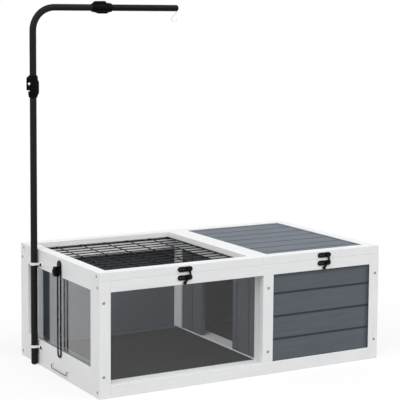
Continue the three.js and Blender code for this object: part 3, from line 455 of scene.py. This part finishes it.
def make_joiner():
    """Nodes that join the CAD's loose triangles and shade them round up to the sharp angle."""
    group = bpy.data.node_groups.new("joined_faces", "GeometryNodeTree")
    group.interface.new_socket("Geometry", in_out="INPUT", socket_type="NodeSocketGeometry")
    group.interface.new_socket("Geometry", in_out="OUTPUT", socket_type="NodeSocketGeometry")
    begin = group.nodes.new("NodeGroupInput")
    end = group.nodes.new("NodeGroupOutput")
    merge = group.nodes.new("GeometryNodeMergeByDistance")
    merge.inputs["Distance"].default_value = WELD_REACH
    smooth = group.nodes.new("GeometryNodeSetShadeSmooth")
    angle = group.nodes.new("GeometryNodeInputMeshEdgeAngle")
    steep = group.nodes.new("FunctionNodeCompare")
    steep.inputs["B"].default_value = SMOOTH_ANGLE
    normals = group.nodes.new("GeometryNodeSetMeshNormal")
    normals.inputs["Remove Custom"].default_value = True
    link = group.links.new
    link(begin.outputs[0], merge.inputs["Geometry"])
    link(merge.outputs["Geometry"], smooth.inputs["Geometry"])
    link(smooth.outputs["Geometry"], normals.inputs["Mesh"])
    link(angle.outputs["Unsigned Angle"], steep.inputs["A"])
    link(steep.outputs["Result"], normals.inputs["Edge Sharpness"])
    link(normals.outputs["Mesh"], end.inputs[0])
    return group


def dress_node(name, obj, finishes, joiner):
    set_material(obj, finish_for(name, finishes))
    join = obj.modifiers.new("joined_faces", "NODES")
    join.node_group = joiner
    width = edge_for(name)
    if width:
        bevel = obj.modifiers.new("edges", "BEVEL")
        bevel.width = width
        bevel.segments = EDGE_SEGMENTS
        bevel.limit_method = "ANGLE"
        bevel.angle_limit = SHARP_ANGLE
        bevel.harden_normals = True


# Heads of screws and rivets: a dome, with a cross recess in a screw's. Shares are of the radius,
# and those of the recess's depth and rise are of the height
SCREW_RADIUS = 4.2 * MM
SCREW_HEIGHT = 1.3 * MM
HEAD_RINGS = 9
HEAD_SIDES = 32
DOME_FALL = 0.9
RECESS_REACH_SHARE = 0.62
RECESS_HALF_WIDTH_SHARE = 0.13
RECESS_DEPTH_SHARE = 0.9
RECESS_RISE_SHARE = 0.3
# Radians by which the recess of the first screw and of each next one is turned
FIRST_TURN = 0.4
NEXT_TURN = 1.7


def dome_height(u, v, radius, height):
    """Height of a plain rivet's head at a point of it."""
    return height * math.sqrt(max(0.0, 1.0 - DOME_FALL * (math.hypot(u, v) / radius) ** 2))


def screw_height(u, v, radius, height):
    """Height of a screw's head at a point of it, the cross recess cut in."""
    dome = dome_height(u, v, radius, height)
    distance = math.hypot(u, v) / radius
    arm = min(abs(u), abs(v)) / radius
    if distance < RECESS_REACH_SHARE and arm < RECESS_HALF_WIDTH_SHARE:
        rise = distance / RECESS_REACH_SHARE * RECESS_RISE_SHARE
        return dome - height * RECESS_DEPTH_SHARE * (1.0 - rise)
    return dome


def on_circle(radius, side):
    angle = 2.0 * math.pi * side / HEAD_SIDES
    return radius * math.cos(angle), radius * math.sin(angle)


def add_head(mesh, place, normal, radius, height, turn, shape):
    """Adds one head to the bmesh, its rim on the face at place."""
    to_face = Vector(normal).normalized().to_track_quat("Z", "Y").to_matrix().to_4x4()
    matrix = Matrix.Translation(place) @ to_face
    rings = []
    for ring in range(1, HEAD_RINGS + 1):
        corners = []
        for side in range(HEAD_SIDES):
            u, v = on_circle(radius * ring / HEAD_RINGS, side)
            turned_u = u * math.cos(turn) + v * math.sin(turn)
            turned_v = v * math.cos(turn) - u * math.sin(turn)
            w = shape(turned_u, turned_v, radius, height)
            corners.append(mesh.verts.new(matrix @ Vector((u, v, w))))
        rings.append(corners)
    top = mesh.verts.new(matrix @ Vector((0.0, 0.0, shape(0.0, 0.0, radius, height))))
    rim = [
        mesh.verts.new(matrix @ Vector((*on_circle(radius, side), 0.0))) for side in range(HEAD_SIDES)
    ]
    foot = mesh.verts.new(matrix @ Vector((0.0, 0.0, 0.0)))
    for side in range(HEAD_SIDES):
        after = (side + 1) % HEAD_SIDES
        mesh.faces.new((top, rings[0][side], rings[0][after]))
        for inner, outer in zip(rings, rings[1:] + [rim]):
            mesh.faces.new((inner[side], outer[side], outer[after], inner[after]))
        mesh.faces.new((rim[side], foot, rim[after]))


def piece_from(mesh, name, material):
    bmesh.ops.recalc_face_normals(mesh, faces=mesh.faces)
    data = bpy.data.meshes.new(name)
    mesh.to_mesh(data)
    mesh.free()
    piece = bpy.data.objects.new(name, data)
    bpy.context.scene.collection.objects.link(piece)
    for polygon in data.polygons:
        polygon.use_smooth = True
    data.set_sharp_from_angle(angle=SMOOTH_ANGLE)
    set_material(piece, material)
    return piece


def heads(
    name, body, places, material, slot, radius=SCREW_RADIUS, height=SCREW_HEIGHT, shape=screw_height
):
    """All the heads of one finish on one body, as one piece."""
    mesh = bmesh.new()
    for index, (place, normal) in enumerate(places):
        add_head(mesh, place, normal, radius, height, FIRST_TURN + NEXT_TURN * index, shape)
    piece = piece_from(mesh, name, material)
    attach(piece, body)


# Places of the timber's screws, from the edges of the pieces that hold them
FRONT_SCREW_SIDE = 12.2 * MM
FRONT_SCREW_LOW = 57.5 * MM
FRONT_SCREW_HIGH = 251.8 * MM
CENTRE_SCREW_SIDE = 17.0 * MM
CENTRE_SCREW_LOW = 64.0 * MM
CENTRE_SCREW_HIGH = 242.5 * MM
SIDE_SCREW_EDGE = 12.4 * MM
SIDE_SCREW_LOW = 15.5 * MM
SIDE_SCREW_HIGH = 290.8 * MM
LID_SCREW_FRONT = 18.8 * MM
LID_SCREW_BACK = 21.7 * MM


def timber_screws(finishes):
    left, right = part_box("post_front_left"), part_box("post_front_right")
    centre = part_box("post_front_centre")
    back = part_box("post_back_left")[1].y
    front = left[0].y
    places = []
    for face, normal in ((front, (0, -1, 0)), (back, (0, 1, 0))):
        for x in (left[0].x + FRONT_SCREW_SIDE, right[1].x - FRONT_SCREW_SIDE):
            places += [((x, face, z), normal) for z in (FRONT_SCREW_LOW, FRONT_SCREW_HIGH)]
    x = centre[0].x + CENTRE_SCREW_SIDE
    places += [((x, front, z), (0, -1, 0)) for z in (CENTRE_SCREW_LOW, CENTRE_SCREW_HIGH)]
    for face, normal in ((left[0].x, (-1, 0, 0)), (right[1].x, (1, 0, 0))):
        for y in (front + SIDE_SCREW_EDGE, back - SIDE_SCREW_EDGE):
            places += [((face, y, z), normal) for z in (SIDE_SCREW_LOW, SIDE_SCREW_HIGH)]
    heads("timber_screws", "cabinet", places, finishes["zinc"], "galvanised_wire")
    for side in ("left", "right"):
        low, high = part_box(f"{side}_lid_stile_{side}")
        face, normal = (low.x, (-1, 0, 0)) if side == "left" else (high.x, (1, 0, 0))
        z = (low.z + high.z) / 2
        places = [
            ((face, y, z), normal) for y in (low.y + LID_SCREW_FRONT, high.y - LID_SCREW_BACK)
        ]
        heads(f"{side}_lid_screws", f"{side}_lid", places, finishes["zinc"], "galvanised_wire")


# Screws of the fittings
CLIP_SCREW_INSET = 6.5 * MM
CLIP_SCREW_RADIUS = 4.6 * MM
CLIP_SCREW_HEIGHT = 3.2 * MM
CLIP_EAR_THICKNESS = 2.8 * MM
LATCH_SCREW_SHARES = (0.166, 0.375)
LATCH_SCREW_RADIUS = 2.7 * MM
LATCH_SCREW_HEIGHT = 0.9 * MM
LATCH_PAN = 1.8 * MM
HINGE_LEAF = 1.6 * MM
HINGE_SCREW_RADIUS = 2.4 * MM
HINGE_SCREW_INSET = 8.0 * MM
HINGE_SCREW_DROP = 7.0 * MM


def fitting_screws(finishes):
    black = finishes["black_metal"]
    places = []
    for clip in ("pole_clip_top", "pole_clip_low"):
        low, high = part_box(clip)
        ear = high.x - CLIP_EAR_THICKNESS
        z = (low.z + high.z) / 2
        for y in (low.y + CLIP_SCREW_INSET, high.y - CLIP_SCREW_INSET):
            places.append(((ear, y, z), (-1, 0, 0)))
    size = (CLIP_SCREW_RADIUS, CLIP_SCREW_HEIGHT)
    heads("clip_screws", "cabinet", places, black, "black_metal", *size)
    for side in ("left", "right"):
        latch_screws(side, finishes["dark_screws"])
        hinge_screws(side, black)


def latch_screws(side, metal):
    size = (LATCH_SCREW_RADIUS, LATCH_SCREW_HEIGHT)
    for plate, body in (("keeper", f"{side}_lid"), ("base", "cabinet")):
        low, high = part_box(f"{side}_latch_{plate}")
        y = high.y - LATCH_PAN
        z = (low.z + high.z) / 2
        places = []
        for share in LATCH_SCREW_SHARES:
            places.append(((low.x + (high.x - low.x) * share, y, z), (0, -1, 0)))
        heads(f"{side}_{plate}_screws", body, places, metal, "black_metal", *size)


def hinge_screws(side, black):
    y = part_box("post_back_left")[1].y + HINGE_LEAF
    for leaf, body, sign in (("lid", f"{side}_lid", 1), ("body", "cabinet", -1)):
        places = []
        for number in (1, 2):
            low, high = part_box(f"{side}_hinge_{number}_{leaf}_leaf")
            z = high.z - HINGE_SCREW_DROP if sign > 0 else low.z + HINGE_SCREW_DROP
            for x in (low.x + HINGE_SCREW_INSET, high.x - HINGE_SCREW_INSET):
                places.append(((x, y, z), (0, 1, 0)))
        name = f"{side}_hinge_{leaf}_screws"
        heads(name, body, places, black, "black_metal", HINGE_SCREW_RADIUS)


# Rivets of the two clamps, on the bosses of the CAD: name, body, place and the way they face
RIVET_RADIUS = 3.7 * MM
RIVET_HEIGHT = 1.3 * MM
RIVETS = (
    ("lower_clamp_rivet", "lower_pole", (-0.470373, 0.369674, 0.7947), (-0.342, -0.940, 0.0)),
    ("upper_clamp_rivet", "bent_pole", (-0.2534, 0.384066, 1.020082), (0.0, 0.9397, 0.3420)),
)


def clamp_rivets(finishes):
    looks = (finishes["nickel"], "galvanised_wire", RIVET_RADIUS, RIVET_HEIGHT, dome_height)
    for name, body, place, normal in RIVETS:
        heads(name, body, [(place, normal)], *looks)


# Bent wires of round section
WIRE_RESOLUTION = 4


def wire(name, points, diameter, material, body, slot):
    data = bpy.data.curves.new(name, "CURVE")
    data.dimensions = "3D"
    data.bevel_depth = diameter / 2
    data.bevel_resolution = WIRE_RESOLUTION
    data.use_fill_caps = True
    spline = data.splines.new("POLY")
    spline.points.add(len(points) - 1)
    for point, place in zip(spline.points, points):
        point.co = (*place, 1.0)
    piece = bpy.data.objects.new(name, data)
    bpy.context.scene.collection.objects.link(piece)
    data.materials.append(material)
    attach(piece, body)


# The bow pull on the left base rail: its ends from the front, its height, and how far it stands out
PULL_NEAR = 197.0 * MM
PULL_FAR = 296.0 * MM
PULL_PIVOT_Z = 25.0 * MM
PULL_DROP = 10.0 * MM
PULL_STAND = 5.0 * MM
PULL_WIRE = 2.4 * MM
PULL_CORNER = 6.0 * MM
PULL_STEPS = 6


def wire_pull(finishes):
    """The bow pull hangs from two holes."""
    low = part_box("base_rail_left")[0]
    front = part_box("post_front_left")[0].y
    out = low.x - PULL_STAND
    z_low = PULL_PIVOT_Z - PULL_DROP
    near, far = front + PULL_NEAR, front + PULL_FAR
    points = [(low.x + PULL_STAND, near, PULL_PIVOT_Z), (out, near, PULL_PIVOT_Z)]
    for step in range(PULL_STEPS + 1):
        angle = step / PULL_STEPS * math.pi / 2
        y = near + PULL_CORNER * (1 - math.cos(angle))
        points.append((out, y, z_low + PULL_CORNER * (1 - math.sin(angle))))
    mirrored = [(x, near + far - y, z) for x, y, z in reversed(points)]
    looks = (PULL_WIRE, finishes["dull_wire"], "cabinet", "galvanised_wire")
    wire("wire_pull", points + mirrored, *looks)


# Staples that hold the wire grid in its rebate
STAPLE_WIRE = 1.4 * MM
STAPLE_WIDTH = 8.0 * MM
STAPLE_HEIGHT = 4.0 * MM
STAPLE_INSET = 2.0 * MM
STAPLES_ON_A_SIDE = 4


def grid_staples(finishes):
    low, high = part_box("wire_grid")
    z = low.z - STAPLE_WIRE / 2
    top = z + STAPLE_HEIGHT
    looks = (STAPLE_WIRE, finishes["zinc"], "left_lid", "galvanised_wire")
    for index in range(1, STAPLES_ON_A_SIDE + 1):
        middle = low.y + (high.y - low.y) * index / (STAPLES_ON_A_SIDE + 1)
        near, far = middle - STAPLE_WIDTH / 2, middle + STAPLE_WIDTH / 2
        for side, x in (("left", low.x + STAPLE_INSET), ("right", high.x - STAPLE_INSET)):
            points = [(x, near, top), (x, near, z), (x, far, z), (x, far, top)]
            wire(f"grid_staple_{side}_{index}", points, *looks)


# Floor, backdrop and light
FLOOR_SIDE = 30.0
FLOOR_ROUGHNESS = 0.9
FLOOR_COLOUR = (0.86, 0.86, 0.86)
# What the floor throws back at the part
FLOOR_BOUNCE_COLOUR = (0.30, 0.30, 0.30)
# How much of the part's shadow the white floor keeps, and how white it is
FLOOR_SHADE_SHARE = 0.25
FLOOR_GLOW = 1.03
WORLD_LIGHT = 0.55
LAMP_SOFTNESS = math.radians(60.0)
# Each lamp's name, strength and the direction to it
LAMPS = (
    ("key", 1.36, (0.46, -0.61, 0.645)),
    ("fill", 1.40, (-0.75, -0.35, 0.56)),
)


def seen_ray(tree):
    """1 for rays that show a surface in the picture: straight, mirrored or through glass."""
    rays = tree.nodes.new("ShaderNodeLightPath").outputs
    direct = maths(tree, "MAXIMUM", rays["Is Camera Ray"], rays["Is Glossy Ray"])
    return maths(tree, "MAXIMUM", direct, rays["Is Transmission Ray"])


def make_floor():
    mesh = bmesh.new()
    bmesh.ops.create_grid(mesh, x_segments=1, y_segments=1, size=FLOOR_SIDE / 2)
    material, tree, shader = new_material("floor_white", FLOOR_COLOUR, FLOOR_ROUGHNESS)
    bounce = tree.nodes.new("ShaderNodeLightPath").outputs["Is Diffuse Ray"]
    colour = blend(tree, bounce, FLOOR_COLOUR, FLOOR_BOUNCE_COLOUR)
    tree.links.new(colour, shader.inputs["Base Color"])
    glow = tree.nodes.new("ShaderNodeEmission")
    glow.inputs["Strength"].default_value = FLOOR_GLOW
    share = maths(tree, "MULTIPLY", seen_ray(tree), 1.0 - FLOOR_SHADE_SHARE)
    show_mixed(tree, share, shader.outputs["BSDF"], glow.outputs["Emission"])
    floor = piece_from(mesh, "floor", material)


def make_world():
    world = bpy.data.worlds.new("studio")
    world.use_nodes = True
    tree = world.node_tree
    sky = tree.nodes["Background"]
    strength = remap(tree, seen_ray(tree), WORLD_LIGHT, 1.0, 0.0, 1.0)
    tree.links.new(strength, sky.inputs["Strength"])
    sky.inputs["Color"].default_value = (1.0, 1.0, 1.0, 1.0)
    bpy.context.scene.world = world


def make_lamps():
    for name, energy, to_lamp in LAMPS:
        data = bpy.data.lights.new(name, "SUN")
        data.energy = energy
        data.angle = LAMP_SOFTNESS
        lamp = bpy.data.objects.new(name, data)
        lamp.rotation_euler = Vector(to_lamp).to_track_quat("Z", "Y").to_euler()
        bpy.context.scene.collection.objects.link(lamp)


make_camera()
bpy.context.scene.view_settings.view_transform = "Standard"
all_finishes = make_finishes()
face_joiner = make_joiner()
for node_name, node_object in nodes.items():
    dress_node(node_name, node_object, all_finishes, face_joiner)
timber_screws(all_finishes)
fitting_screws(all_finishes)
clamp_rivets(all_finishes)
wire_pull(all_finishes)
grid_staples(all_finishes)
make_floor()
make_world()
make_lamps()
